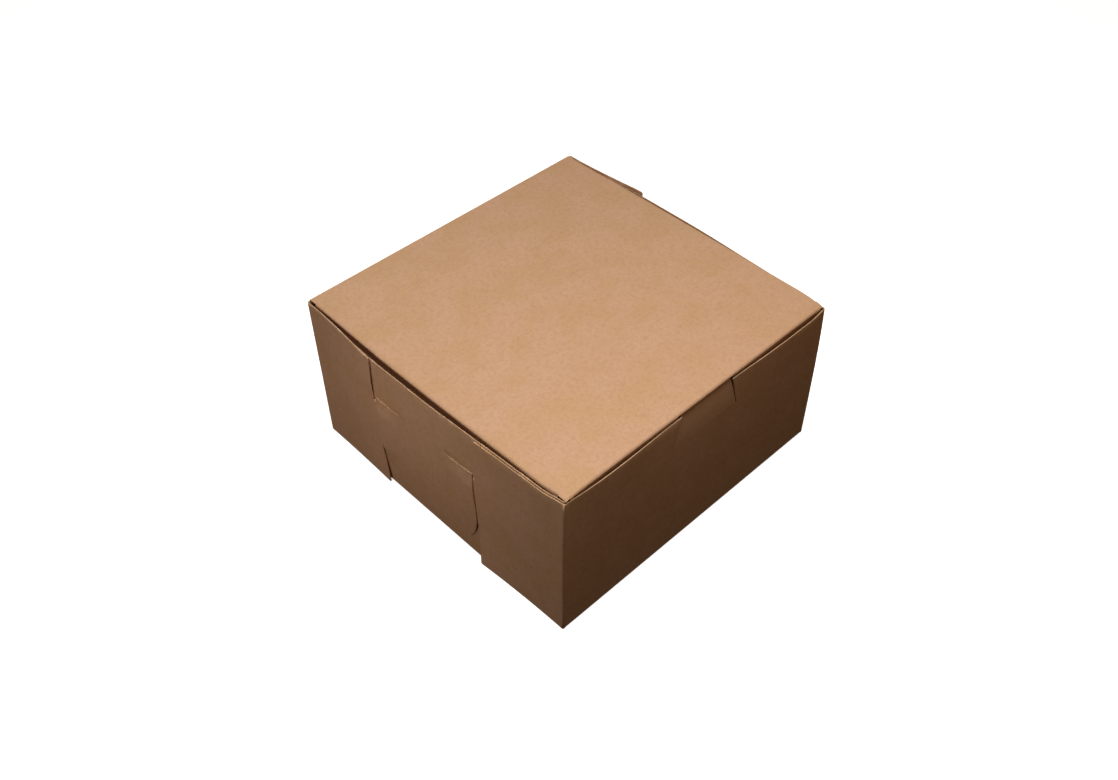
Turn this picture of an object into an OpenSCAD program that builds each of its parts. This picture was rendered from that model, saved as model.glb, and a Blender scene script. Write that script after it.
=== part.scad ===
// Folded paperboard bakery box: a lock-corner tray with a hinged tuck lid.
// The bottom lies on z = 0, the middle of the bottom is the origin, and the front faces -Y.
// All lengths are in millimetres and all angles in degrees.

/* [Inside of the box] */
// Width of the space inside, between the two side walls
inside_w = 152.4; // [140:0.2:220]
// Depth of the space inside, from the front wall to the back wall
inside_d = 152.4; // [140:0.2:220]
// Height of the space inside, from the bottom to the lid
inside_h = 77; // [71:0.5:110]

/* [Board and folds] */
// Thickness of the board
board_t = 0.5; // [0.4:0.05:0.7]
// Radius on the inner side of a fold
fold_r = 0.3; // [0.2:0.05:0.5]
// Gap between an ear and the side wall that it lies on
layer_gap = 0.15; // [0.1:0.05:0.3]
// Width of a cut line
cut_w = 0.2; // [0.1:0.05:0.4]

/* [Walls] */
// How far the rim of the side walls lies below the top of the lid
side_rim_drop = 2; // [1.2:0.1:3]
// How far the rim of the front wall and its ears lies below the top of the lid
front_rim_drop = 2.6; // [1.2:0.1:4]
// Gap from the ends of a side wall to the front and back walls
wall_end_gap = 0.3; // [0.2:0.05:0.6]

/* [Spring of the side walls] */
// How far the rim of a side wall springs out between the corners
rim_spring = 2.3; // [0:0.1:3]
// How much further the side wall springs out at half its height
belly_spring = 1.5; // [0:0.1:2]
// How far the lower free corner of a front ear curls out
front_curl = 1.8; // [0:0.1:4]
// How far the lower free corner of a back ear curls out
back_curl = 0.9; // [0:0.1:4]

/* [Corner ears] */
// Length of the two ears folded back from the front wall
front_ear_len = 47; // [42:0.5:50]
// Length of the two ears folded forward from the back wall
back_ear_len = 45; // [42:0.5:50]
// Height of the lower edge of an ear above the ground
ear_lift = 0.3; // [0.2:0.1:1]
// Radius of the free corners of an ear
ear_corner_r = 0.8; // [0.4:0.1:3]

/* [Side locks] */
// How far the straight top cut of a tongue lies below the top of the lid
lock_drop = 22; // [20:0.5:25]
// Length of that top cut
tongue_top_len = 17.6; // [15:0.2:20]
// Height of a tongue from its top cut to the lower end of its curved cut
tongue_h = 44.5; // [40:0.5:46]
// Height of the straight stretch of the side cut, above the curve
tongue_straight_h = 24; // [20:0.5:28]
// Distance from the free edge of the ear to the upper end of the side cut
tongue_set = 1.5; // [1.2:0.1:2.5]
// How much closer to the ear the side cut runs where its curve starts
tongue_slant = 1.2; // [0.6:0.1:1.2]
// Distance from the free edge of the ear to the lower end of the side cut
tongue_foot = 7.2; // [6:0.2:9]
// Angle at which a tongue rises from its root, until it clears the tab under it
tongue_lift = 9; // [8.4:0.2:12]
// Height of the tab that each ear pushes under a tongue
tab_h = 28; // [20:0.5:30]
// Gap from the top cut of the tongue down to the top edge of the tab
tab_top_gap = 2; // [1:0.1:4]
// Length of the tab from the free edge of the ear
tab_len = 16; // [12:0.5:18]
// Length of the tab that still lies in line with the ear
tab_run = 2.2; // [1.8:0.1:2.6]
// Angle at which the tab dips behind the side wall
tab_dip = 12; // [11:0.5:16]
// Radius of the free corners of the tab
tab_corner_r = 3; // [1:0.5:5]

/* [Front tab] */
// Width of the front tab at the rim
front_tab_w = 29; // [24:0.5:40]
// How much the two cuts beside it spread outwards towards their lower ends
front_tab_flare = 4; // [1:0.5:6]
// Depth of those cuts below the rim of the front wall
front_cut_depth = 15.5; // [12:0.5:17]
// Width of those cuts
front_cut_w = 0.4; // [0.2:0.1:0.8]
// Angle at which the front tab leans in under the lid
front_tab_lean = 6; // [4:0.5:7]
// Distance of the front tab from the middle of the front wall, to the right
front_tab_shift = 1.5; // [-3:0.5:3]
// Radius of the upper corners of the front tab
front_tab_r = 3; // [1:0.5:5]
// Gap between the top of the front tab and the underside of the lid
front_tab_gap = 0.5; // [0.3:0.1:1.2]

/* [Lid] */
// Gap between a side flap of the lid and the side wall outside it
lid_side_gap = 0.25; // [0.2:0.05:0.5]
// Gap between the front fold of the lid and the front wall outside it
lid_front_gap = 0.4; // [0.3:0.05:0.8]
// Angle of the fold at the hinge that stays open on each side between tray and lid
hinge_gap_angle = 3.5; // [2:0.5:8]
// Height from the tabs of the side locks up to the side flaps of the lid
flap_over_tab = 4; // [2:0.5:8]
// Distance from the corners of the lid to the ends of a side flap's fold
side_flap_inset = 4; // [3:0.5:10]
// How much shorter a side flap gets at each end, down to its free edge
side_flap_taper = 9; // [4:0.5:14]
// Depth of the tuck flap at the front of the lid
tuck_depth = 28; // [22:0.5:32]
// Angle at which the tuck flap leans into the box
tuck_lean = 12; // [11:0.5:16]
// Distance from the corners of the lid to the ends of the tuck flap's fold
tuck_inset = 3; // [2:0.5:8]
// How much shorter the tuck flap gets at each end, down to its free edge
tuck_taper = 5; // [3:0.5:12]
// Radius of the free corners of the lid's flaps
flap_corner_r = 6; // [2:0.5:9]
// Depth of the window in the tuck flap that the front tab reaches through
window_depth = 16.5; // [15:0.5:19]
// Gap from the root of the front tab to each side of that window
window_side_gap = 1.5; // [0.8:0.1:3]
// Radius of the lower corners of that window
window_r = 3; // [1:0.5:6]

/* [Hidden] */
$fn = 48;
kraft = [0.76, 0.60, 0.45];

// Outer radius of a fold
fold_ro = fold_r + board_t;
// Thickness of the round core that joins the front tab to its wall
bend_core = 0.9 * board_t;
// How far a tongue or tab reaches back over the stretch that it bends away from
bend_lap = board_t;
// How far the rising stretch of a tongue reaches into its level stretch
level_lap = board_t / 5;

// Inner and outer faces of the side walls, and outer face of the ears
side_in_x = inside_w / 2;
side_out_x = side_in_x + board_t;
ear_in_x = side_out_x + layer_gap;
ear_out_x = ear_in_x + board_t;
// Outer faces of the front and back walls lie at -wall_out_y and wall_out_y
wall_out_y = inside_d / 2 + board_t;
// Top of the closed lid
box_h = inside_h + 2 * board_t;

side_rim_z = box_h - side_rim_drop;
front_rim_z = box_h - front_rim_drop;
// The back wall and its ears end where the hinge fold starts
back_rim_z = box_h - fold_ro;

// Flat stretch of the bottom, between its four folds
bottom_x = side_out_x - fold_ro;
bottom_y = wall_out_y - fold_ro;
// Flat stretch of the front and back walls, between their ears' folds
wall_x = ear_out_x - fold_ro;

// Side locks, in a frame of their own: u runs from the free edge of the ear along the
// side wall, and v runs up from the top cut of the tongue
lock_z = box_h - lock_drop;
tongue_in = [tongue_set + tongue_top_len, 0];
tongue_out = [tongue_set, 0];
tongue_bend = [tongue_set - tongue_slant, -tongue_straight_h];
tongue_end = [tongue_foot, -tongue_h];
// Radius of the arc that leaves the straight stretch upright and ends at tongue_end
curve_run = tongue_end.x - tongue_bend.x;
curve_drop = tongue_bend.y - tongue_end.y;
curve_r = (curve_run ^ 2 + curve_drop ^ 2) / (2 * curve_run);
curve_mid = tongue_bend + [curve_r, 0];
curve_sweep = asin(curve_drop / curve_r);
curve_steps = 12;
// How far the shapes that cut the sheets reach past them
side_reach = 20;
// Steps in the arc of a rounded corner
corner_steps = 6;

tongue_root = tongue_in - tongue_end;
root_way = tongue_root / norm(tongue_root);
// How far the level stretch of a tongue stands out from the wall, and the distance from
// the root where it starts
tongue_stand = ear_out_x - side_in_x + layer_gap;
level_start = tongue_stand / tan(tongue_lift);

tab_top_z = lock_z - tab_top_gap;
tab_low_z = tab_top_z - tab_h;

// Free edges of the ears on a side wall
front_edge_y = front_ear_len - wall_out_y;
back_edge_y = wall_out_y - back_ear_len;

// Places along and up a side wall between which its sprung sheet runs straight. The
// shares of its length lie closest where the spring changes most.
spring_y = [for (share = [0, 0.14, 0.28, 0.42, 0.56, 0.72, 0.86, 1])
    bottom_y * (2 * share - 1)];
spring_z = [0, fold_ro, tab_low_z, tab_top_z, box_h];
// Shares of the length where the rim starts to spring out, is fully out, starts to come
// back, and is back
rim_shares = [0.05, 0.55, 0.7, 0.98];

// Front tab, from its root up to its top under the lid
front_tab_root_z = front_rim_z - front_cut_depth;
front_tab_top_z = box_h - board_t - front_tab_gap;
front_tab_len = (front_tab_top_z - front_tab_root_z) / cos(front_tab_lean);
front_tab_root_w = front_tab_w + 2 * front_tab_flare;

// Lid: outer faces of its side flaps and of its front fold
lid_out_x = side_in_x - lid_side_gap;
lid_front_y = -wall_out_y + board_t + lid_front_gap;
lid_fold_y = lid_front_y + fold_ro;
lid_back_y = wall_out_y - fold_ro;
side_flap_z = tab_top_z + flap_over_tab;
side_flap_front = lid_front_y + side_flap_inset;
side_flap_back = wall_out_y - side_flap_inset;
tuck_x = lid_out_x - tuck_inset;
window_w = front_tab_root_w + 2 * window_side_gap;

// A smooth rise from 0 to 1 between two values
function ramp(value, start, end) =
    let (t = min(max((value - start) / (end - start), 0), 1))
    t * t * (3 - 2 * t);

// How far a point of a side wall springs out: the rim's bow, a quarter sine in height,
// and the belly, a half sine both ways
function spring(y, z) =
    let (
        share = (y + bottom_y) / (2 * bottom_y),
        rise = max(z - fold_ro, 0) / (box_h - fold_ro),
        bow = ramp(share, rim_shares[0], rim_shares[1])
            * (1 - ramp(share, rim_shares[2], rim_shares[3])))
    rim_spring * bow * sin(90 * rise) + belly_spring * sin(180 * share) * sin(180 * rise);

// Distance u of a point from the free edge of the front ear, or of the back ear
function front_u(y) = y - front_edge_y;
function back_u(y) = back_edge_y - y;

// Further out than the spring: a tongue by its angle about the slanted root, a tab
// inwards by its dip, and an ear by the curl of its lower free corner
function tongue_out_by(u, z) =
    tan(tongue_lift) * cross(root_way, [u, z - lock_z] - tongue_end);
function tab_out_by(u) = tan(tab_dip) * (tab_run - u);
function curl_by(u, z, length, curl) =
    let (
        along = max(u / (length - fold_ro) + 1, 0),
        drop = min(max((tab_low_z - z) / (tab_low_z - fold_ro), 0), 1))
    curl * along ^ 2 * drop;

// The sheet that all pieces of a side are cut from: its inner face springs out from x,
// further by what the function adds at each corner of its triangles
module sprung_sheet(x, further) {
    columns = len(spring_y);
    rows = len(spring_z);
    c = columns - 1;
    r = rows - 1;
    function at(layer, i, j) = layer * rows * columns + j * columns + i;
    points = [for (layer = [0, 1]) for (z = spring_z) for (y = spring_y)
        [x + spring(y, z) + further(y, z) + layer * board_t, y, z]];
    outer = [for (j = [0:r - 1]) for (i = [0:c - 1]) each [
        [at(1, i, j), at(1, i, j + 1), at(1, i + 1, j + 1)],
        [at(1, i, j), at(1, i + 1, j + 1), at(1, i + 1, j)]]];
    inner = [for (j = [0:r - 1]) for (i = [0:c - 1]) each [
        [at(0, i + 1, j + 1), at(0, i, j + 1), at(0, i, j)],
        [at(0, i + 1, j), at(0, i + 1, j + 1), at(0, i, j)]]];
    ends = [for (i = [0:c - 1]) each [
        [at(1, i, 0), at(1, i + 1, 0), at(0, i + 1, 0), at(0, i, 0)],
        [at(1, i + 1, r), at(1, i, r), at(0, i, r), at(0, i + 1, r)]]];
    sides = [for (j = [0:r - 1]) each [
        [at(1, 0, j + 1), at(1, 0, j), at(0, 0, j), at(0, 0, j + 1)],
        [at(1, c, j), at(1, c, j + 1), at(0, c, j + 1), at(0, c, j)]]];
    polyhedron(points, concat(outer, inner, ends, sides));
}

// A piece of that sheet, inside the outline that the children draw right through it
module sprung(x, further = function(y, z) 0) {
    intersection() {
        sprung_sheet(x, further);
        children();
    }
}

// A rectangular plate of board from its lowest corner to its highest one
module block(low, high) {
    translate(low)
        cube(high - low);
}

// A plate of board drawn in x and z, with its front face at y
module plate_xz(y) {
    translate([0, y + board_t, 0])
        rotate([90, 0, 0])
            linear_extrude(board_t)
                children();
}

// A plate of board drawn in y and z, with its inner face at x
module plate_yz(x) {
    translate([x, 0, 0])
        rotate([90, 0, 90])
            linear_extrude(board_t)
                children();
}

// A cut right through such a plate, drawn in x and z
module cut_xz(y) {
    translate([0, y + 2 * board_t, 0])
        rotate([90, 0, 0])
            linear_extrude(3 * board_t)
                children();
}

// An outline drawn in y and z, carried right through all layers of a side
module through_side() {
    translate([side_in_x - side_reach, 0, 0])
        rotate([90, 0, 90])
            linear_extrude(2 * side_reach)
                children();
}

// The points of an arc of radius r that rounds corner b between its neighbours a and c.
// A radius of 0 keeps the corner sharp.
function rounded_corner(a, b, c, r) =
    let (
        to_a = (a - b) / norm(a - b),
        to_c = (c - b) / norm(c - b),
        half = acos(to_a * to_c) / 2,
        middle = b + (to_a + to_c) / norm(to_a + to_c) * r / sin(half),
        from = b + to_a * r / tan(half) - middle,
        turn = (cross(to_a, to_c) > 0 ? -1 : 1) * (180 - 2 * half))
    r == 0 ? [b] : [for (i = [0:corner_steps])
        let (angle = turn * i / corner_steps)
            middle + [from.x * cos(angle) - from.y * sin(angle),
                from.x * sin(angle) + from.y * cos(angle)]];

// A polygon whose corners, each given as [x, y, radius], are rounded
module rounded_polygon(corners) {
    last = len(corners) - 1;
    at = [for (corner = corners) [corner.x, corner.y]];
    polygon([for (i = [0:last])
        each rounded_corner(at[i == 0 ? last : i - 1], at[i], at[i == last ? 0 : i + 1],
            corners[i].z)]);
}

// A round fold of the given length, sweeping an angle about z from the x axis
module fold(length, angle) {
    rotate_extrude(angle = angle)
        translate([fold_r, 0])
            square([board_t, length]);
}

// A fold along x, centred on x = 0, from angle a0 to a1 measured from +Y towards +Z
module fold_x(half, a0, a1) {
    translate([-half, 0, 0])
        rotate([90, 0, 90])
            rotate([0, 0, a0])
                fold(2 * half, a1 - a0);
}

// A fold along y from y0 to y1, from angle a0 to a1 measured from +X towards -Z
module fold_y(y0, y1, a0, a1) {
    translate([0, y0, 0])
        rotate([-90, 0, 0])
            rotate([0, 0, a0])
                fold(y1 - y0, a1 - a0);
}

// Both mirror halves, left and right
module both_sides() {
    for (side = [0, 1])
        mirror([side, 0, 0])
            children();
}

// A place on the right side wall: the free edge of the front ear or of the back ear,
// with y running towards the middle of the wall
module at_front_ear() {
    translate([0, front_edge_y, 0])
        children();
}
module at_back_ear() {
    translate([0, back_edge_y, 0])
        mirror([0, 1, 0])
            children();
}

// Outline of a tongue in u and v. The three cut sides move outwards by grow, and the
// slanted root moves into the wall by lap.
function tongue_points(grow, lap) = concat(
    [tongue_in + [lap, grow], tongue_out + [-grow, grow]],
    [for (i = [0:curve_steps])
        let (a = 180 + curve_sweep * i / curve_steps)
            curve_mid + (curve_r + grow) * [cos(a), sin(a)]],
    [tongue_end + [lap, 0]]);

module tongue_outline(grow, lap) {
    translate([0, 0, lock_z])
        through_side()
            polygon(tongue_points(grow, lap));
}

// The band of a tongue between two distances from its root, longer than the tongue
module tongue_band(near, far) {
    away = [-root_way.y, root_way.x];
    low = tongue_end - root_way * side_reach;
    high = tongue_in + root_way * side_reach;
    translate([0, 0, lock_z])
        through_side()
            polygon([low + away * near, high + away * near, high + away * far,
                low + away * far]);
}

// The stretch of a tab in line with the ear, and the stretch that dips inwards
module tab_run_outline() {
    block([side_in_x - side_reach, -ear_corner_r, tab_low_z],
        [side_in_x + side_reach, tab_run, tab_top_z]);
}
module tab_dip_outline() {
    low = tab_run - bend_lap;
    translate([0, 0, tab_low_z])
        through_side()
            rounded_polygon([[low, 0, 0], [tab_len, 0, tab_corner_r],
                [tab_len, tab_h, tab_corner_r], [low, tab_h, 0]]);
}

// An ear in the frame of its free edge, back to the corner fold
module ear_outline(length, top_z) {
    flat_len = length - fold_ro;
    rise = top_z - ear_lift;
    translate([0, -flat_len, ear_lift])
        through_side()
            rounded_polygon([[0, 0, 0], [flat_len, 0, ear_corner_r],
                [flat_len, rise, ear_corner_r], [0, rise, 0]]);
}

// The ears on the right, each with the tab that it pushes behind the side wall
module ears() {
    sprung(ear_in_x, function(y, z) curl_by(front_u(y), z, front_ear_len, front_curl))
        at_front_ear()
            ear_outline(front_ear_len, front_rim_z);
    sprung(ear_in_x, function(y, z) curl_by(back_u(y), z, back_ear_len, back_curl))
        at_back_ear()
            ear_outline(back_ear_len, back_rim_z);
    sprung(ear_in_x) {
        union() {
            at_front_ear()
                tab_run_outline();
            at_back_ear()
                tab_run_outline();
        }
    }
    sprung(ear_in_x, function(y, z) tab_out_by(front_u(y)))
        at_front_ear()
            tab_dip_outline();
    sprung(ear_in_x, function(y, z) tab_out_by(back_u(y)))
        at_back_ear()
            tab_dip_outline();
}

// The upright fold at a corner, between a wall and its ear, at the right end of the wall
module corner_fold(y, turn, top_z) {
    translate([wall_x, y, ear_lift])
        rotate([0, 0, turn])
            fold(top_z - ear_lift, 90);
}

// A side wall on the right, with its two tongues and the fold under it
module side_wall() {
    half = wall_out_y - board_t - wall_end_gap;
    sprung(side_in_x)
        difference() {
            block([side_in_x - side_reach, -half, fold_ro],
                [side_in_x + side_reach, half, side_rim_z]);
            at_front_ear()
                tongue_outline(cut_w, 0);
            at_back_ear()
                tongue_outline(cut_w, 0);
        }
    translate([bottom_x, 0, fold_ro])
        fold_y(-bottom_y, bottom_y, 0, 90);
    intersection() {
        union() {
            sprung(side_in_x, function(y, z) tongue_out_by(front_u(y), z))
                at_front_ear()
                    tongue_band(-side_reach, level_start + level_lap);
            sprung(side_in_x + tongue_stand)
                at_front_ear()
                    tongue_band(level_start, side_reach + level_start);
        }
        at_front_ear()
            tongue_outline(0, bend_lap);
    }
    intersection() {
        union() {
            sprung(side_in_x, function(y, z) tongue_out_by(back_u(y), z))
                at_back_ear()
                    tongue_band(-side_reach, level_start + level_lap);
            sprung(side_in_x + tongue_stand)
                at_back_ear()
                    tongue_band(level_start, side_reach + level_start);
        }
        at_back_ear()
            tongue_outline(0, bend_lap);
    }
}

// The front or back wall, with its front face at y: a flat stretch between the ears'
// folds, with small feet at both ends beside the bottom fold
module end_wall(y, top_z) {
    block([-wall_x, y, fold_ro], [wall_x, y + board_t, top_z]);
    both_sides()
        block([bottom_x + cut_w, y, ear_lift], [wall_x, y + board_t, top_z]);
}

// The outline between the two slanted cuts, from the root of the front tab up by rise.
// The cuts move apart by extra, and r rounds the two upper corners.
module front_tab_outline(rise, extra, r) {
    low = front_tab_root_w / 2 + extra;
    high = low - front_tab_flare * rise / front_cut_depth;
    translate([front_tab_shift, 0])
        rounded_polygon([[-low, 0, 0], [low, 0, 0], [high, rise, r], [-high, rise, r]]);
}

// The front tab, leaning in about its root
module front_tab() {
    translate([0, board_t / 2 - wall_out_y, front_tab_root_z]) {
        rotate([-front_tab_lean, 0, 0])
            plate_xz(-board_t / 2)
                front_tab_outline(front_tab_len, 0, front_tab_r);
        translate([front_tab_shift, 0, 0])
            rotate([0, 90, 0])
                cylinder(h = front_tab_root_w - board_t, d = bend_core, center = true);
    }
}

// The tray: bottom, four walls, four ears, side locks and front tab, one folded sheet
module tray() {
    color(kraft) {
        block([-bottom_x, -bottom_y, 0], [bottom_x, bottom_y, board_t]);

        // Front wall and the fold under it
        difference() {
            end_wall(-wall_out_y, front_rim_z);
            translate([0, 0, front_tab_root_z])
                cut_xz(-wall_out_y)
                    front_tab_outline(front_cut_depth + board_t, front_cut_w, 0);
        }
        translate([0, -bottom_y, fold_ro])
            fold_x(bottom_x, 180, 270);
        front_tab();

        // Back wall, the fold under it and the tray's half of the hinge fold
        end_wall(wall_out_y - board_t, back_rim_z);
        translate([0, bottom_y, fold_ro])
            fold_x(bottom_x, 270, 360);
        translate([0, lid_back_y, back_rim_z])
            fold_x(lid_out_x, 0, 45 - hinge_gap_angle);

        both_sides() {
            side_wall();
            corner_fold(-bottom_y, 270, front_rim_z);
            corner_fold(bottom_y, 0, back_rim_z);
            ears();
        }
    }
}

// The flat top of the lid: a plate between its folds, and its square corners beside them
module lid_top() {
    fold_in_x = lid_out_x - fold_ro;
    under = box_h - board_t;
    block([-fold_in_x, lid_fold_y, under], [fold_in_x, lid_back_y, box_h]);
    both_sides() {
        block([tuck_x, lid_front_y, under], [lid_out_x, side_flap_front, box_h]);
        block([tuck_x, side_flap_back, under], [lid_out_x, lid_back_y, box_h]);
    }
}

// A side flap on the right, tapered towards its free edge
module side_flap() {
    fold_z = box_h - fold_ro;
    low = side_flap_z - fold_z;
    translate([0, 0, fold_z]) {
        plate_yz(lid_out_x - board_t)
            rounded_polygon([[side_flap_front, 0, 0],
                [side_flap_front + side_flap_taper, low, flap_corner_r],
                [side_flap_back - side_flap_taper, low, flap_corner_r],
                [side_flap_back, 0, 0]]);
        translate([lid_out_x - fold_ro, 0, 0])
            fold_y(side_flap_front, side_flap_back, -90, 0);
    }
}

// Outline of the tuck flap in x and z, hanging down from z = 0, with its window, which
// is open at the top, where it meets the fold
module tuck_outline() {
    left = front_tab_shift - window_w / 2;
    right = front_tab_shift + window_w / 2;
    rounded_polygon([[-tuck_x, 0, 0], [tuck_taper - tuck_x, -tuck_depth, flap_corner_r],
        [tuck_x - tuck_taper, -tuck_depth, flap_corner_r], [tuck_x, 0, 0],
        [right, 0, 0], [right, -window_depth, window_r],
        [left, -window_depth, window_r], [left, 0, 0]]);
}

// The lid: top, two side flaps and the front tuck flap, joined to the tray at the hinge
module lid() {
    color(kraft) {
        lid_top();
        translate([0, lid_fold_y, box_h - fold_ro]) {
            fold_x(tuck_x, 90, 180 + tuck_lean);
            rotate([tuck_lean, 0, 0])
                plate_xz(-fold_ro)
                    tuck_outline();
        }
        // The lid's half of the hinge fold, drawn from the top and mirrored to the back
        translate([0, lid_back_y, back_rim_z])
            mirror([0, 1, 0])
                fold_x(lid_out_x, 90, 135 - hinge_gap_angle);
        both_sides()
            side_flap();
    }
}

tray();
lid();
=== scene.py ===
from math import pi, radians

import bmesh
import bpy
import numpy as np
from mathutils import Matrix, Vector
from mathutils.bvhtree import BVHTree


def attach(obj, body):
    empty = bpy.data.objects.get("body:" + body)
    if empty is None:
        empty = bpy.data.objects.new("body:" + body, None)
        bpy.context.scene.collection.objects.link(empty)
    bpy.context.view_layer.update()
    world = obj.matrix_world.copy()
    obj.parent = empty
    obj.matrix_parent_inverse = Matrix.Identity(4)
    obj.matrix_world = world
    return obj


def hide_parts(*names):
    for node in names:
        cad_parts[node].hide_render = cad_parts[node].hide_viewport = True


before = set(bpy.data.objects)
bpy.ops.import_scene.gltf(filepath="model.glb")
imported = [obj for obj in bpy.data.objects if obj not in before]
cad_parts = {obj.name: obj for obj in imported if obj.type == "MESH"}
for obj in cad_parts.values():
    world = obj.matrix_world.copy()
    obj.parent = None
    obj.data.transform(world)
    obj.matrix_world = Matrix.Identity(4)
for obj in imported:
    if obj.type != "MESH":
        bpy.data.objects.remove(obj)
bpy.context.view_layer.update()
mm = 0.001
print("frame loaded:", sorted(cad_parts))


# Node and colour helpers

def linearColour(hexCode):
    # sRGB hex to linear RGBA: the sRGB curve, undone channel by channel
    srgb = np.array([int(hexCode[i:i + 2], 16) for i in (1, 3, 5)]) / 255
    linear = np.where(srgb <= 0.04045, srgb / 12.92, ((srgb + 0.055) / 1.055) ** 2.4)
    return (*linear.tolist(), 1.0)


def addNode(tree, kind, settings=None, links=None):
    # One node, with its properties and socket values set and its inputs linked
    node = tree.nodes.new(kind)
    for key, value in (settings or {}).items():
        if key in node.inputs:
            node.inputs[key].default_value = value
        else:
            setattr(node, key, value)
    for key, source in (links or {}).items():
        tree.links.new(source, node.inputs[key])
    return node


def newMaterial(name):
    material = bpy.data.materials.new(name)
    material.use_nodes = True
    material.node_tree.nodes.clear()
    return material, material.node_tree


# Uncoated brown kraft board, pressed flat on the paper machine: matt and even, with no
# relief to speak of, a soft drift between yellower and pinker tan, and fine pale and dark
# specks of fibre

kraftLook = {
    "face": "#cda484",          # the sheet's own tan
    "drift": "#c8a078",         # yellower areas
    "mottle": "#b78e69",        # denser pulp in a small cloud
    "speckPale": "#e6c9a6",     # ends of bleached fibres
    "speckDark": "#7d5a3c",     # bark flecks
    "cutEdgeHighlight": "#cfac88",       # a little paler than the face: painted highlight of light catching the cut edges
    "driftMm": 16.0,            # size of the yellower and pinker areas
    "mottleMm": 1.7,            # size of the small clouds
    "grainMm": 0.55,            # size of the fine felt grain
    "speckMm": 0.75,            # a real speck is 0.1 to 0.3 mm, drawn coarser so that it shows
    "darkSpeckMm": 0.6,
    "wideMottle": (2.4, 0.4),   # a second set of clouds: how much wider and how much weaker
    "driftRange": (0.4, 0.62),  # part of the noise over which each of them grows to its
    "mottleRange": (0.46, 0.74),    # amount
    "grainRange": (0.45, 0.75),
    "paleRange": (0.66, 0.75),
    "darkRange": (0.69, 0.78),
    "driftAmount": 0.85,
    "mottleAmount": 0.50,
    "grainAmount": 0.40,
    "paleAmount": 0.40,
    "darkAmount": 0.38,
    "roughness": 0.86,
    "ior": 1.5,
    "specular": 0.2,
    "bumpMm": 0.012,
    "bumpStrength": 0.3,
    "noiseRoughness": 0.55,
}


def makeKraft(name, faceColour):
    look = kraftLook
    material, tree = newMaterial(name)
    place = addNode(tree, "ShaderNodeTexCoord").outputs["Object"]

    def noise(sizeMm, detail, shift=0.0):
        # Noise with features of the given size, read at a place of its own
        moved = addNode(tree, "ShaderNodeMapping", {"Location": (shift, 0.7 * shift, 1.3 * shift)},
                        {"Vector": place}).outputs["Vector"]
        return addNode(tree, "ShaderNodeTexNoise",
                       {"Scale": 1 / (sizeMm * mm), "Detail": detail,
                        "Roughness": look["noiseRoughness"]},
                       {"Vector": moved}).outputs["Fac"]

    def share(source, kind, amount):
        # 0 below the kind's range, amount above it, and straight between
        low, high = look[kind + "Range"]
        return addNode(tree, "ShaderNodeMapRange",
                       {"From Min": low, "From Max": high, "To Max": amount},
                       {"Value": source}).outputs["Result"]

    def mixed(amount, under, over):
        # A colour mix, whose sockets 6 and 7 take the two colours
        node = addNode(tree, "ShaderNodeMix", {"data_type": "RGBA"})
        tree.links.new(amount, node.inputs["Factor"])
        for socket, value in ((node.inputs[6], under), (node.inputs[7], over)):
            if isinstance(value, tuple):
                socket.default_value = value
            else:
                tree.links.new(value, socket)
        return node.outputs[2]

    drift = share(noise(look["driftMm"], 2), "drift", look["driftAmount"])
    colour = mixed(drift, linearColour(faceColour), linearColour(look["drift"]))
    for (wider, weaker), shift in (((1, 1), 0.31), (look["wideMottle"], 0.43)):
        cloud = noise(wider * look["mottleMm"], 3, shift)
        mottle = share(cloud, "mottle", weaker * look["mottleAmount"])
        colour = mixed(mottle, colour, linearColour(look["mottle"]))
    grainNoise = noise(look["grainMm"], 2, 0.57)
    grain = share(grainNoise, "grain", look["grainAmount"])
    colour = mixed(grain, colour, linearColour(look["mottle"]))
    for shift in (0.83, 1.19):
        pale = share(noise(look["speckMm"], 3, shift), "pale", look["paleAmount"])
        colour = mixed(pale, colour, linearColour(look["speckPale"]))
    dark = share(noise(look["darkSpeckMm"], 3, 1.57), "dark", look["darkAmount"])
    colour = mixed(dark, colour, linearColour(look["speckDark"]))

    bump = addNode(tree, "ShaderNodeBump",
                   {"Strength": look["bumpStrength"], "Distance": look["bumpMm"] * mm},
                   {"Height": grainNoise})
    shader = addNode(tree, "ShaderNodeBsdfPrincipled",
                     {"Roughness": look["roughness"], "IOR": look["ior"],
                      "Specular IOR Level": look["specular"]},
                     {"Base Color": colour, "Normal": bump.outputs["Normal"]})
    addNode(tree, "ShaderNodeOutputMaterial", links={"Surface": shader.outputs["BSDF"]})
    return material


kraftFace = makeKraft("kraftBoardFace", kraftLook["face"])
# The cut edges get a paler copy of the board, a painted highlight of the light on them
kraftCutHighlight = makeKraft("kraftBoardCutEdgeHighlight", kraftLook["cutEdgeHighlight"])
print("materials made")


# The folded sheet: each half of it is the CAD sheet, cut on a grid and bent a little

sheetLook = {
    "boardMm": 0.5,          # thickness of the board
    "gridMm": 4.0,           # largest step between points of the bent sheet
    "smoothAngle": 32.0,     # a sharper bend than this stays a crisp edge
    "onFace": 0.12,          # a point this close to a face of the board lies on it
    "slack": 0.05,           # room for rounding when a point is told to be on a layer,
    "cutSlack": 0.02,        # on the line of a cut,
    "endSlack": 0.1,         # or within the length of a tab
}

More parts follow.
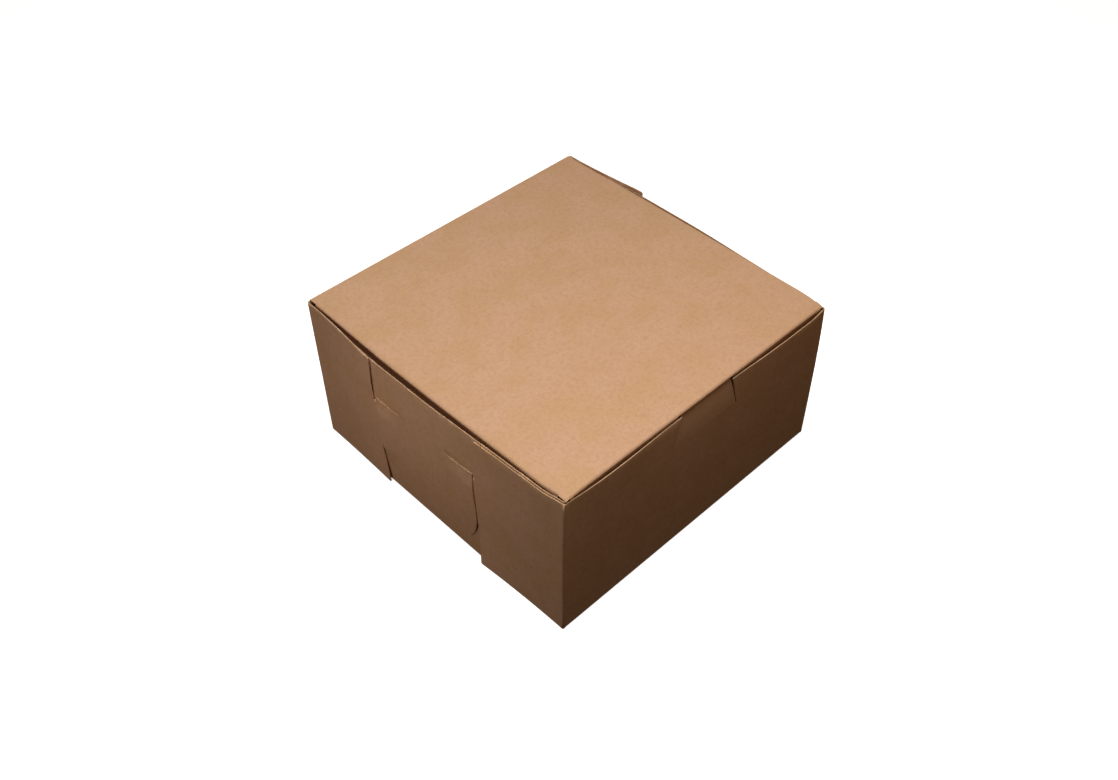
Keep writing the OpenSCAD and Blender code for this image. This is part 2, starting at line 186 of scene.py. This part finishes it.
# The folded sheet's own places, as the CAD part has them, in mm
foldedSize = {
    "wallOutY": 76.7,        # outer face of the front and back walls
    "foldOuter": 0.8,        # outer radius of a fold
    "top": 78.0,             # top of the lid
    "earInsideX": 76.85,     # inner face of the ears, before they spring out
    "betweenLayers": 0.58,   # from a side wall's inner face to the gap below the ears
    "frontEar": 47.0,
    "backEar": 45.0,
    "tabLow": 26.0,
    "tabTop": 54.0,
    "springShares": (0, 0.14, 0.28, 0.42, 0.56, 0.72, 0.86, 1),
    "frontTabMiddle": 1.5,   # front tab: its middle in x, half its width at the root with
    "frontTabHalf": 18.7,    # half a cut, how much narrower that gets up to the rim,
    "frontTabFlare": 4.0,    # half its width there, and the depth of its cuts
    "frontTabRim": 14.5,
    "frontCutDepth": 15.5,
    "frontTabRoot": 59.9,    # height of its root and of its top, and its lean in degrees
    "frontTabTop": 77.0,
    "frontTabLean": 6.0,
    "sideIn": 76.2,          # inner face of the side walls, before they spring out
    "frontEdgeY": -29.7,     # free edges of the ears
    "backEdgeY": 31.7,
    "lockZ": 56.0,           # top cut of the tongues
    "tongueSet": 1.5,        # side cut of a tongue: distance from the ear's edge at its
    "tongueSlant": 1.2,      # top, how much closer it comes, height of that stretch, and
    "tongueStraight": 24.0,  # where its arc ends
    "tongueFoot": 7.2,
    "tongueHigh": 44.5,
    "tongueTop": 17.6,       # length of the top cut
    "tongueStand": 1.3,      # how far a tongue stands out, and the angle at which it rises
    "tongueLift": 9.0,
    "tabRun": 2.2,           # the ear's tab: where it starts to dip, and its end
    "tabLength": 16.0,
    "lidOutX": 75.95,        # outer faces of the lid's side flaps and of its front fold
    "lidFrontY": -75.8,
    "tuckLean": 12.0,
    "windowHalf": 20.0,      # half the width of the window in the tuck flap
    "windowDepth": 16.5,
}

# How the walls of the tray spring out. Lengths in mm, shares of the length from the
# front fold to the back fold.
trayBow = {
    "rimOut": 2.3,           # spring of the side wall at its rim
    "rimShares": (0.05, 0.55, 0.7, 0.98),
    "bellyOut": 1.5,         # further spring at half height
    "cornerIn": 1.5,         # how far the front corners lean in at the top
    "cornerLength": 14.0,
    "cornerUp": 0.5,         # how far their rim rises, and how far along
    "cornerUpReach": 12.0,
    "frontDeep": 5.0,        # depth of the stretch that moves with the front wall
    "frontCornerIn": 0.9,    # further lean of the front wall at its ends, and where along it
    "frontLeftEnd": 24.0,    # that ends on the left and rises on the right
    "frontRightEnd": (144.0, 154.0),
    "frontTabIn": 0.7,       # lean of the front wall beside its tab, the distance from the
    "besideTab": 2.0,        # tab where it starts to fade, and where it has faded on the
    "besideTabLeft": 34.0,   # left and on the right
    "besideTabRight": 20.0,
    "frontRightOut": 0.35,   # how far the front wall stands out in its right half
    "frontRight": (105.0, 130.0),
    "tongueKeep": 0.35,      # how far the tongues stand out at their top cut, how much more
    "tongueMore": 0.6,       # they do lower down, and how far down that takes
    "tongueMoreDeep": 9.0,
    "tongueEven": 13.0,      # distance from its root where a tongue is that far out
    "tabClear": 0.1,         # gap from a tongue to the tab under it
    "tabRise": 5.0,          # distance from its end where a tab is back in its place
    "frontCurl": 1.8,        # curl of the front ear's lower free corner
    "backCurl": 0.9,         # curl of the back ear's lower free corner
    "earOpen": 0.5,          # how far the back ear's free edge stands off above the tongue
    "earOpenReach": 14.0,    # and the length of ear that bends for it
    "earOpenRise": (1.0, 7.0),    # heights above the ear's tab between which that grows
    "leftCutClosed": 0.3,    # how far the tab's left edge closes its cut, and the height
    "leftCutRise": 1.5,      # above the tab's root where it is all closed
    "sideMoves": (20.0, 4.0),     # distances from the ears where the movement starts and is full
}

# How the lid is bent. Lengths in mm.
lidBend = {
    "foldRadius": 1.3,       # outer radius of the side folds, and of the front fold
    "frontRadius": 1.2,
    "foldStep": 0.25,        # step between the points round those folds
    "cornerDroop": 1.2,      # how far the two front corners bend down
    "cornerReach": 8.0,      # distance from a corner where that starts
    "followShare": 0.3,      # how much of the walls' spring the side flaps follow,
    "leanShare": 0.8,        # and how much of the corners' lean
    "flapLean": 0.3,         # slope at which the side flaps then lean in, and how far down
    "flapLeanDeep": 5.0,     # it takes to fade
    "windowClose": 3.4,      # how far the top ends of the window's sides come in
    "windowReach": 16.0,     # width of flap that moves with them
    "windowAbove": 1.2,      # the tuck flap's part that moves: its height above the start
    "flapHalf": 60.0,        # of the fold, half its width, and its depth
    "flapDeep": 12.0,
    "droopDepth": (4.0, 2.0),     # depths below the top where the corners' droop starts and is full
}


def smoothRamp(value, start, end):
    # 0 before start, 1 after end, and a smooth S between them
    t = np.clip((value - start) / (end - start), 0, 1)
    return t * t * (3 - 2 * t)


def springOut(y, z):
    # The rim's bow times a quarter sine of the height, plus the belly times a half sine
    # of the length and a half sine of the height
    size, bow = foldedSize, trayBow
    reach = size["wallOutY"] - size["foldOuter"]
    share = np.clip((y + reach) / (2 * reach), 0, 1)
    rise = np.clip((z - size["foldOuter"]) / (size["top"] - size["foldOuter"]), 0, 1)
    start, full, fades, end = bow["rimShares"]
    rim = bow["rimOut"] * smoothRamp(share, start, full) * (1 - smoothRamp(share, fades, end))
    return rim * np.sin(pi / 2 * rise) + bow["bellyOut"] * np.sin(pi * share) * np.sin(pi * rise)


def curlOut(y, z, dropShape):
    # The curl of each ear's lower free corner: the square of the way along the ear, times
    # a drop from full at the fold to none at the foot of the tab
    size, bow = foldedSize, trayBow
    drop = dropShape(np.clip((size["tabLow"] - z) / (size["tabLow"] - size["foldOuter"]), 0, 1))
    fold = size["wallOutY"] - size["foldOuter"]
    frontWay = np.clip((y + fold) / (size["frontEar"] - size["foldOuter"]), 0, None)
    backWay = np.clip((fold - y) / (size["backEar"] - size["foldOuter"]), 0, None)
    return np.where(y < 0, bow["frontCurl"] * frontWay ** 2, bow["backCurl"] * backWay ** 2) * drop


def onTriangles(surface, y, z):
    # The value that the CAD's flat triangles have: corners taken from the surface, and
    # straight between them, with each cell split from its low front to its high back
    size = foldedSize
    reach = size["wallOutY"] - size["foldOuter"]
    columns = reach * (2 * np.array(size["springShares"]) - 1)
    rows = np.array([0, size["foldOuter"], size["tabLow"], size["tabTop"], size["top"]])
    i = np.clip(np.searchsorted(columns, y) - 1, 0, len(columns) - 2)
    j = np.clip(np.searchsorted(rows, z) - 1, 0, len(rows) - 2)
    s = np.clip((y - columns[i]) / (columns[i + 1] - columns[i]), 0, 1)
    t = np.clip((z - rows[j]) / (rows[j + 1] - rows[j]), 0, 1)
    nodes = surface(*np.meshgrid(columns, rows, indexing="ij"))
    low, high = nodes[i, j], nodes[i + 1, j + 1]
    above = low + t * (nodes[i, j + 1] - low) + s * (high - nodes[i, j + 1])
    below = low + s * (nodes[i + 1, j] - low) + t * (high - nodes[i + 1, j])
    return np.where(t >= s, above, below)


def cornerLean(y, z):
    # How far the sides lean in at the front corners, with the fourth power of the height
    size, bow = foldedSize, trayBow
    lean = bow["cornerIn"] * (1 - smoothRamp(y + size["wallOutY"], 0, bow["cornerLength"]))
    return lean * np.clip(z / size["top"], 0, 1) ** 4


def tongueMove(x, y, z, straight):
    # The tongues lie nearly level with the wall: their stand, which grows with the distance
    # from the slanted root, drops to a smaller and even one, and least at the top cut. The
    # tab under each tongue dips sooner, between the edge of its ear and the side cut.
    size, bow = foldedSize, trayBow
    onCut, ends = sheetLook["cutSlack"], sheetLook["endSlack"]
    u = np.where(y < 0, y - size["frontEdgeY"], size["backEdgeY"] - y)
    v = z - size["lockZ"]
    out = np.abs(x) - straight - size["sideIn"]
    top = size["tongueSet"] + size["tongueTop"]
    run, high = top - size["tongueFoot"], size["tongueHigh"]
    bendU, drop = size["tongueSet"] - size["tongueSlant"], high - size["tongueStraight"]
    arcRun = size["tongueFoot"] - bendU
    radius = (arcRun ** 2 + drop ** 2) / (2 * arcRun)
    below = np.clip(-v - size["tongueStraight"], 0, drop)
    cut = bendU + size["tongueSlant"] * np.clip(1 + v / size["tongueStraight"], 0, 1)
    cut = cut + radius - np.sqrt(radius ** 2 - below ** 2)
    root = top + run * v / high
    reach = (run * (v + high) - high * (u - size["tongueFoot"])) / np.hypot(run, high)
    stand = np.minimum(size["tongueStand"], np.tan(radians(size["tongueLift"])) * reach)
    even = 1 - (1 - np.clip(reach / bow["tongueEven"], 0, 1)) ** 2
    within = (v < onCut) & (v > -high) & (u > cut - onCut) & (reach > 0)
    isTongue = within & (out > stand - sheetLook["slack"])
    level = (z > size["tabLow"] - ends) & (z < size["tabTop"] + ends)
    level = level & (u > -onCut) & (u < size["tabLength"] + ends)
    isTab = (u <= cut - onCut) & (out > size["betweenLayers"])
    isTab = isTab | (within & ~isTongue) | ((u > root) & (out < -sheetLook["slack"]))
    keep = bow["tongueKeep"] + bow["tongueMore"] * smoothRamp(-v, 0, bow["tongueMoreDeep"])
    lower = (size["tongueStand"] - keep - bow["tabClear"]) * smoothRamp(u / cut, 0, 1)
    lower = lower * (1 - smoothRamp(u, size["tabRun"], size["tabLength"] - bow["tabRise"]))
    move = np.where(isTongue, keep * even - stand, 0)
    return np.where(level & isTab & ~isTongue, -lower, move)


def frontLean(x, z):
    # How far the front wall leans in: most at its ends and beside its tab, and with the
    # cube of the height, while its right half stands out a little
    size, bow = foldedSize, trayBow
    along = x + size["wallOutY"]
    left = along < size["frontTabMiddle"] + size["wallOutY"]
    fromTab = np.abs(x - size["frontTabMiddle"]) - size["frontTabRim"]
    faded = np.where(left, bow["besideTabLeft"], bow["besideTabRight"])
    lean = bow["frontCornerIn"] * (1 - smoothRamp(along, 0, bow["frontLeftEnd"]))
    lean = lean + bow["frontTabIn"] * (1 - smoothRamp(fromTab, bow["besideTab"], faded))
    lean = lean - bow["frontRightOut"] * smoothRamp(along, *bow["frontRight"])
    lean = lean + bow["frontCornerIn"] * smoothRamp(along, *bow["frontRightEnd"])
    return lean * np.clip(z / size["top"], 0, 1) ** 3


def bendTray(points):
    # The CAD sheet springs out in flat triangles: each point moves by the smooth curve
    # less that, so the walls bend evenly. The front corners lean in a little at the top.
    # The front tab goes on from the lean of its wall, with the square of the height above
    # its root, to where the CAD's straight tab ends.
    size, bow = foldedSize, trayBow
    x, y, z = (points / mm).T
    outward = np.sign(x)
    straight = onTriangles(springOut, y, z)
    move = springOut(y, z) - straight
    isEar = np.abs(x) - straight > size["earInsideX"] - sheetLook["slack"]
    curlMove = curlOut(y, z, lambda drop: drop ** 1.5)
    curlMove = curlMove - onTriangles(lambda a, b: curlOut(a, b, lambda drop: drop), y, z)
    move = move + (isEar & (z < size["tabLow"])) * curlMove
    fromEdge = (y - size["backEdgeY"]) / bow["earOpenReach"]
    opened = bow["earOpen"] * (1 - smoothRamp(fromEdge, 0, 1))
    opened = opened * smoothRamp(z - size["tabTop"], *bow["earOpenRise"])
    move = move + (isEar & (y > 0)) * opened
    move = move + tongueMove(x, y, z, straight)
    move = move - cornerLean(y, z)
    # Only the sides move: the bottom and the end walls hold still away from them
    start, full = bow["sideMoves"]
    move = move * smoothRamp(np.abs(x), size["earInsideX"] - start, size["earInsideX"] - full)

    front = y < bow["frontDeep"] - size["wallOutY"]
    side = x - size["frontTabMiddle"]
    climb = z - size["frontTabRoot"]
    edge = size["frontTabHalf"] - size["frontTabFlare"] * climb / size["frontCutDepth"]
    onTab = front & (climb > 0) & (np.abs(side) < edge)
    lean = np.tan(radians(size["frontTabLean"]))
    whole = size["frontTabTop"] - size["frontTabRoot"]
    rate = (lean * whole - frontLean(x, size["frontTabTop"])) / whole ** 2
    inward = frontLean(x, z) + np.where(onTab, rate * climb ** 2 - lean * climb, 0)
    closing = np.clip(-side / edge, 0, 1) ** 4 * np.clip(climb / bow["leftCutRise"], 0, 1)
    closing = np.where(onTab, bow["leftCutClosed"] * closing, 0)
    corner = np.hypot(np.clip(size["earInsideX"] - np.abs(x), 0, None), y + size["wallOutY"])
    rise = bow["cornerUp"] * (1 - smoothRamp(corner, 0, bow["cornerUpReach"]))
    rise = rise * np.clip(z / size["top"], 0, 1) ** 4
    return np.stack([x + outward * move - closing, y + front * inward, z + rise], 1) * mm


def roundFold(out, up, cadReach, newReach):
    # Round a fold out to a larger radius: each point keeps its direction from the new
    # centre, and its distance drops by what the new outer face has less than the old one.
    # Points of the two faces of the board go right onto the new faces.
    board, onFace = sheetLook["boardMm"], sheetLook["onFace"]
    angle = np.arctan2(up, out)
    distance = np.hypot(out, up)
    old, new = cadReach(angle), newReach(angle)
    depth = old - distance
    moved = distance - (old - new)
    moved = np.where(np.abs(depth) < onFace, new, moved)
    moved = np.where(np.abs(depth - board) < onFace, new - board, moved)
    within = (out > 0) & (up > 0)
    return (np.where(within, moved * np.cos(angle), out),
            np.where(within, moved * np.sin(angle), up))


def reachOfArc(angle, radius, small):
    # Distance from the corner's large centre to an arc of the small radius about its own
    # centre, which lies radius less small further both ways
    cos, sin = np.cos(angle), np.sin(angle)
    middle = radius - small
    along = middle * (cos + sin)
    return along + np.sqrt(np.maximum(small ** 2 - 2 * middle ** 2 + along ** 2, 0))


def bendLid(points):
    # The side folds and the front fold are rounder than in the CAD. The side flaps lean in
    # under them, with a slope that fades downwards. The two front corners bend down with
    # the square of the way into the corner.
    size, bend = foldedSize, lidBend
    radius, wide, small = bend["foldRadius"], bend["frontRadius"], size["foldOuter"]
    x, y, z = (points / mm).T
    outward = np.sign(x)
    lean = np.tan(radians(size["tuckLean"]))

    def sideCad(angle):
        cos, sin = np.cos(angle), np.sin(angle)
        arc = reachOfArc(angle, radius, small)
        flat = np.where(cos * (radius - small) > sin * radius, radius / np.maximum(cos, 1e-6), arc)
        return np.where(sin * (radius - small) > cos * radius, radius / np.maximum(sin, 1e-6), flat)

    def frontCad(angle):
        # The arc runs on past the level, into a flap that leans in
        cos, sin = np.cos(angle), np.sin(angle)
        turn = radians(size["tuckLean"])
        foot = wide - small + small * np.sin(-turn)
        face = wide - small + small * np.cos(turn)
        flap = (face - foot * lean) / np.maximum(cos - sin * lean, 1e-6)
        arc = np.where(flap * sin < foot, flap, reachOfArc(angle, wide, small))
        return np.where(sin * (wide - small) > cos * wide, wide / np.maximum(sin, 1e-6), arc)

    def frontNew(angle):
        # As far out as the level top and as the CAD's flap, and even between them
        return wide - (wide - frontCad(np.zeros(1))[0]) * np.cos(angle) ** 2

    out, up = roundFold(np.abs(x) - size["lidOutX"] + radius, z - size["top"] + radius,
                        sideCad, lambda angle: radius + 0 * angle)
    # The flaps follow the walls' spring and lean, and the folds widen with it: a point
    # moves by the cosine of its angle in the fold
    share = np.where(out > 0, np.cos(np.arctan2(np.clip(up, 0, None), np.clip(out, 1e-6, None))), 0)
    z = up + size["top"] - radius
    follow = bend["followShare"] * springOut(y, z) - bend["leanShare"] * cornerLean(y, z)
    under = np.clip(size["top"] - radius - z, 0, bend["flapLeanDeep"])
    follow = follow - bend["flapLean"] * under * (1 - under / (2 * bend["flapLeanDeep"]))
    x = outward * (out + share * follow + size["lidOutX"] - radius)
    out, up = roundFold(size["lidFrontY"] + wide - y, z - size["top"] + wide,
                        frontCad, frontNew)
    y = size["lidFrontY"] + wide - out
    z = up + size["top"] - wide
    # The sides of the window slant, as the cuts beside the front tab do
    side = x - size["frontTabMiddle"]
    fromWindow = np.abs(np.abs(side) - size["windowHalf"])
    nearWindow = 1 - smoothRamp(fromWindow, 0, bend["windowReach"])
    climb = np.clip((z - size["top"] + radius) / size["windowDepth"] + 1, 0, 1)
    onFlap = (z < size["top"] - radius + bend["windowAbove"]) & (np.abs(x) < bend["flapHalf"])
    onFlap = onFlap & (y < size["lidFrontY"] + bend["flapDeep"])
    x = x - np.sign(side) * bend["windowClose"] * nearWindow * climb * onFlap
    corner = np.hypot(size["lidOutX"] - np.abs(x), y - size["lidFrontY"])
    into = np.clip(1 - corner / bend["cornerReach"], 0, 1)
    start, full = bend["droopDepth"]
    onTop = smoothRamp(z, size["top"] - start, size["top"] - full)
    z = z - bend["cornerDroop"] * into ** 2 * onTop
    return np.stack([x, y, z], 1) * mm


def sliced(mesh, step, further):
    # The mesh cut by evenly spaced planes across each axis, and at the further places that
    # each axis names, so that it can bend
    shape = bmesh.new()
    shape.from_mesh(mesh)
    bmesh.ops.remove_doubles(shape, verts=shape.verts, dist=1e-7)
    corners = np.array([v.co[:] for v in shape.verts])
    for axis in range(3):
        low, high = corners[:, axis].min(), corners[:, axis].max()
        normal = Vector([float(i == axis) for i in range(3)])
        places = np.unique(np.r_[np.arange(low + step, high, step), np.array(further[axis]) * mm])
        for at in places[(places > low) & (places < high)]:
            bmesh.ops.bisect_plane(shape, geom=shape.verts[:] + shape.edges[:] + shape.faces[:],
                                   plane_co=normal * at, plane_no=normal, dist=1e-8)
    bmesh.ops.triangulate(shape, faces=shape.faces[:])
    shape.to_mesh(mesh)
    shape.free()


def markCutEdges(mesh):
    # A face is a cut edge where the board behind it is much deeper than its thickness
    tree = BVHTree.FromPolygons([v.co for v in mesh.vertices],
                                [p.vertices for p in mesh.polygons])
    deep = 1.5 * sheetLook["boardMm"] * mm
    marks = np.zeros(len(mesh.polygons), np.int32)
    for i, face in enumerate(mesh.polygons):
        start = Vector(face.center) - face.normal * 1e-6
        distance = tree.ray_cast(start, -face.normal)[3]
        marks[i] = distance is not None and distance > deep
    # Marked faces take the second, paler material: painted highlight on the cut edges
    mesh.polygons.foreach_set("material_index", marks)


def foldPlaces():
    # Planes across the lid's round folds, in x, y and z
    size, bend = foldedSize, lidBend
    steps = np.arange(0, bend["foldRadius"], bend["foldStep"]) + 0.01
    sides = size["lidOutX"] - steps
    return (np.r_[-sides, sides], size["lidFrontY"] + steps, size["top"] - steps)


def cutPlaces():
    # Planes beside the edges of the ears, in y, closest over the tabs' dip
    steps = np.array([0, 0.25, 0.5, 0.75, 1, 1.25, 1.5, 2, 3]) + 0.01
    return ((), np.r_[foldedSize["frontEdgeY"] + steps, foldedSize["backEdgeY"] - steps], ())


def foldedSheet(name, node, bend, further):
    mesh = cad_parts[node].data.copy()
    mesh.name = name
    mesh.materials.clear()
    mesh.materials.append(kraftFace)
    mesh.materials.append(kraftCutHighlight)
    sliced(mesh, sheetLook["gridMm"] * mm, further)
    markCutEdges(mesh)
    points = np.zeros(len(mesh.vertices) * 3, np.float32)
    mesh.vertices.foreach_get("co", points)
    bent = bend(points.reshape(-1, 3).astype(float))
    mesh.vertices.foreach_set("co", bent.astype(np.float32).ravel())
    mesh.update()
    mesh.shade_smooth()
    mesh.set_sharp_from_angle(angle=radians(sheetLook["smoothAngle"]))
    sheet = bpy.data.objects.new(name, mesh)
    bpy.context.scene.collection.objects.link(sheet)
    weighted = sheet.modifiers.new("evenNormals", "WEIGHTED_NORMAL")
    weighted.keep_sharp = True
    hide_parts(node)
    print(name, "has", len(mesh.polygons), "faces")
    return sheet


traySheet = foldedSheet("traySheet", "tray", bendTray, cutPlaces())
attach(traySheet, "tray")
lidSheet = foldedSheet("lidSheet", "lid", bendLid, foldPlaces())
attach(lidSheet, "lid")


# Plain pale floor, soft studio light and the photograph's camera

studio = {
    "floorSize": 6.0,
    "floorColour": "#ffffff",
    "floorGlow": 0.80,              # lifts the floor to white where the camera sees it
    "bounceColour": "#1c150e",      # what the floor sends back to the object
    "worldColour": "#ffd6aa",
    "worldStrength": 0.055,
}

# Each lamp: its place and the point that it faces in metres, its side in metres, its watts
# and its colour
lamps = {
    "topSoftbox": ((-0.10, -0.07, 0.60), (-0.28, -0.27, 0.0), 0.32, 3.2, "#ffffff"),
    "leftSoftbox": ((-0.215, 0.03, 0.058), (-0.08, 0.02, 0.04), 0.08, 0.053, "#ffeee6"),
    "frontFill": ((0.05, -0.25, 0.31), (0.02, -0.08, 0.06), 0.14, 0.106, "#ffcd98"),
    "backFill": ((0.42, 0.46, 0.14), (0.0, 0.0, 0.04), 0.30, 1.0, "#ffefdc"),
}


def makeFloor():
    # White where the camera sees it, and a darker tan where it lights the object
    half = studio["floorSize"] / 2
    mesh = bpy.data.meshes.new("floor")
    mesh.from_pydata([(-half, -half, 0), (half, -half, 0), (half, half, 0), (-half, half, 0)],
                     [], [(0, 1, 2, 3)])
    floor = bpy.data.objects.new("floor", mesh)
    bpy.context.scene.collection.objects.link(floor)
    material, tree = newMaterial("paleFloor")
    seen = addNode(tree, "ShaderNodeLightPath").outputs["Is Camera Ray"]
    white = addNode(tree, "ShaderNodeBsdfDiffuse", {"Color": linearColour(studio["floorColour"])})
    bounce = addNode(tree, "ShaderNodeBsdfDiffuse", {"Color": linearColour(studio["bounceColour"])})
    mix = addNode(tree, "ShaderNodeMixShader", links={"Fac": seen})
    tree.links.new(bounce.outputs[0], mix.inputs[1])
    tree.links.new(white.outputs[0], mix.inputs[2])
    level = addNode(tree, "ShaderNodeMath", {"operation": "MULTIPLY"}, {0: seen})
    level.inputs[1].default_value = studio["floorGlow"]
    glow = addNode(tree, "ShaderNodeEmission", {"Color": (1, 1, 1, 1)},
                   {"Strength": level.outputs[0]})
    both = addNode(tree, "ShaderNodeAddShader")
    tree.links.new(mix.outputs[0], both.inputs[0])
    tree.links.new(glow.outputs[0], both.inputs[1])
    addNode(tree, "ShaderNodeOutputMaterial", links={"Surface": both.outputs[0]})
    mesh.materials.append(material)


def makeWorld():
    world = bpy.data.worlds.new("studioWorld")
    bpy.context.scene.world = world
    world.use_nodes = True
    tree = world.node_tree
    tree.nodes.clear()
    seen = addNode(tree, "ShaderNodeLightPath").outputs["Is Camera Ray"]
    fill = addNode(tree, "ShaderNodeBackground",
                   {"Color": linearColour(studio["worldColour"]),
                    "Strength": studio["worldStrength"]})
    white = addNode(tree, "ShaderNodeBackground", {"Color": (1, 1, 1, 1), "Strength": 1.0})
    mix = addNode(tree, "ShaderNodeMixShader", links={"Fac": seen})
    tree.links.new(fill.outputs[0], mix.inputs[1])
    tree.links.new(white.outputs[0], mix.inputs[2])
    addNode(tree, "ShaderNodeOutputWorld", links={"Surface": mix.outputs[0]})


def makeLamp(name):
    place, facing, size, watts, colour = lamps[name]
    light = bpy.data.lights.new(name, "AREA")
    light.shape = "SQUARE"
    light.size = size
    light.energy = watts
    light.color = linearColour(colour)[:3]
    lamp = bpy.data.objects.new(name, light)
    lamp.location = place
    lamp.rotation_euler = (Vector(facing) - Vector(place)).to_track_quat("-Z", "Y").to_euler()
    lamp.visible_camera = False
    bpy.context.scene.collection.objects.link(lamp)


photoCamera = {
    "place": (-0.2606, -0.2635, 0.3985),
    "turn": (44.859, 0.053, -44.186),       # degrees about X, Y and Z
    "focalPixels": 1172.6,
    "imageWidth": 1118,
}


def makeCamera():
    lens = bpy.data.cameras.new("photoCamera")
    lens.sensor_fit = "HORIZONTAL"
    lens.lens = photoCamera["focalPixels"] * lens.sensor_width / photoCamera["imageWidth"]
    camera = bpy.data.objects.new("photoCamera", lens)
    camera.location = photoCamera["place"]
    camera.rotation_euler = [radians(a) for a in photoCamera["turn"]]
    bpy.context.scene.collection.objects.link(camera)
    bpy.context.scene.camera = camera


makeFloor()
makeWorld()
for lampName in lamps:
    makeLamp(lampName)
makeCamera()
bpy.context.scene.view_settings.view_transform = "Standard"
print("studio set")
